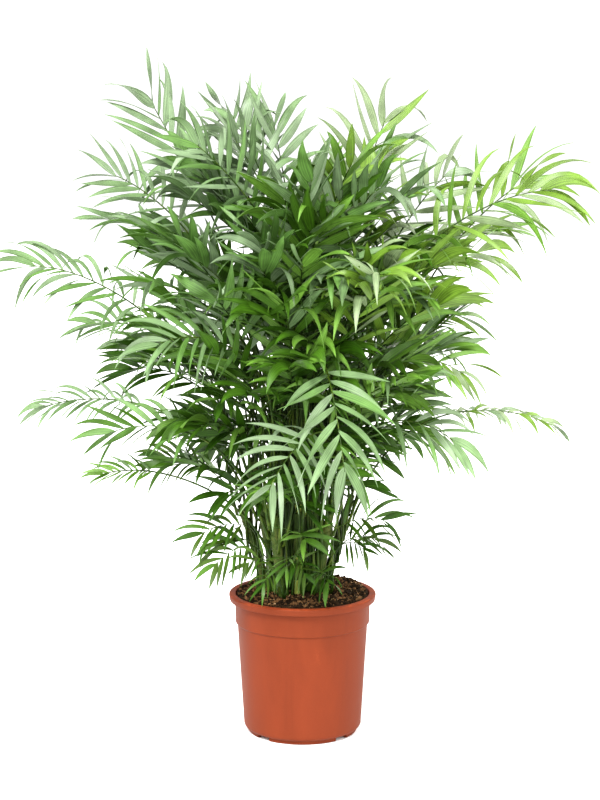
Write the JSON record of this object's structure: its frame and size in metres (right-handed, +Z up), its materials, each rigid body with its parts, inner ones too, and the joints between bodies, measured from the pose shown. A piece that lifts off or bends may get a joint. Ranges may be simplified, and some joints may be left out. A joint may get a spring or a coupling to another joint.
{
  "type": "parlour palm in a grower's pot",
  "caption": "Clump-forming parlour palm with arching feathered fronds on thin green canes, standing in a tapered round terracotta-coloured plastic pot of soil.",
  "frame": {"origin": "centre of the pot's flat underside, on the surface it stands on", "axes": "+Z up along the pot's axis, -Y towards the front that the picture shows, +X to that view's right"},
  "size_m": [0.9311, 0.8316, 1.0996],
  "materials": {
    "pot_plastic": "satin moulded",
    "potting_soil": "rough crumbly",
    "cane": "smooth green",
    "foliage": "soft sheen"
  },
  "bodies": {
    "root": {"back_high_1": "foliage", "back_high_2": "foliage", "back_high_3": "foliage", "back_low_1": "foliage", "back_low_2": "foliage", "back_middle_1": "foliage", "back_middle_2": "foliage", "back_middle_3": "foliage", "cane_1": "cane", "cane_10": "cane", "cane_2": "cane", "cane_3": "cane", "cane_4": "cane", "cane_5": "cane", "cane_6": "cane", "cane_7": "cane", "cane_8": "cane", "cane_9": "cane", "fore_1": "foliage", "fore_2": "foliage", "front": "foliage", "front_high": "foliage", "front_left": "foliage", "front_low": "foliage", "heart_1": "foliage", "heart_10": "foliage", "heart_2": "foliage", "heart_3": "foliage", "heart_4": "foliage", "heart_5": "foliage", "heart_6": "foliage", "heart_7": "foliage", "heart_8": "foliage", "heart_9": "foliage", "left_edge": "foliage", "left_high": "foliage", "left_long": "foliage", "left_low": "foliage", "left_low_long": "foliage", "left_thin": "foliage", "left_waist": "foliage", "middle_up": "foliage", "pot": "pot_plastic", "right_back": "foliage", "right_hang": "foliage", "right_high": "foliage", "right_inner": "foliage", "right_long": "foliage", "right_low": "foliage", "right_middle": "foliage", "right_top": "foliage", "right_waist": "foliage", "shoot_front": "foliage", "shoot_left": "foliage", "shoot_right": "foliage", "soil": "potting_soil", "top_left": "foliage", "top_mid_left": "foliage", "top_right": "foliage", "upper_left": "foliage"}
  },
  "joints": []
}
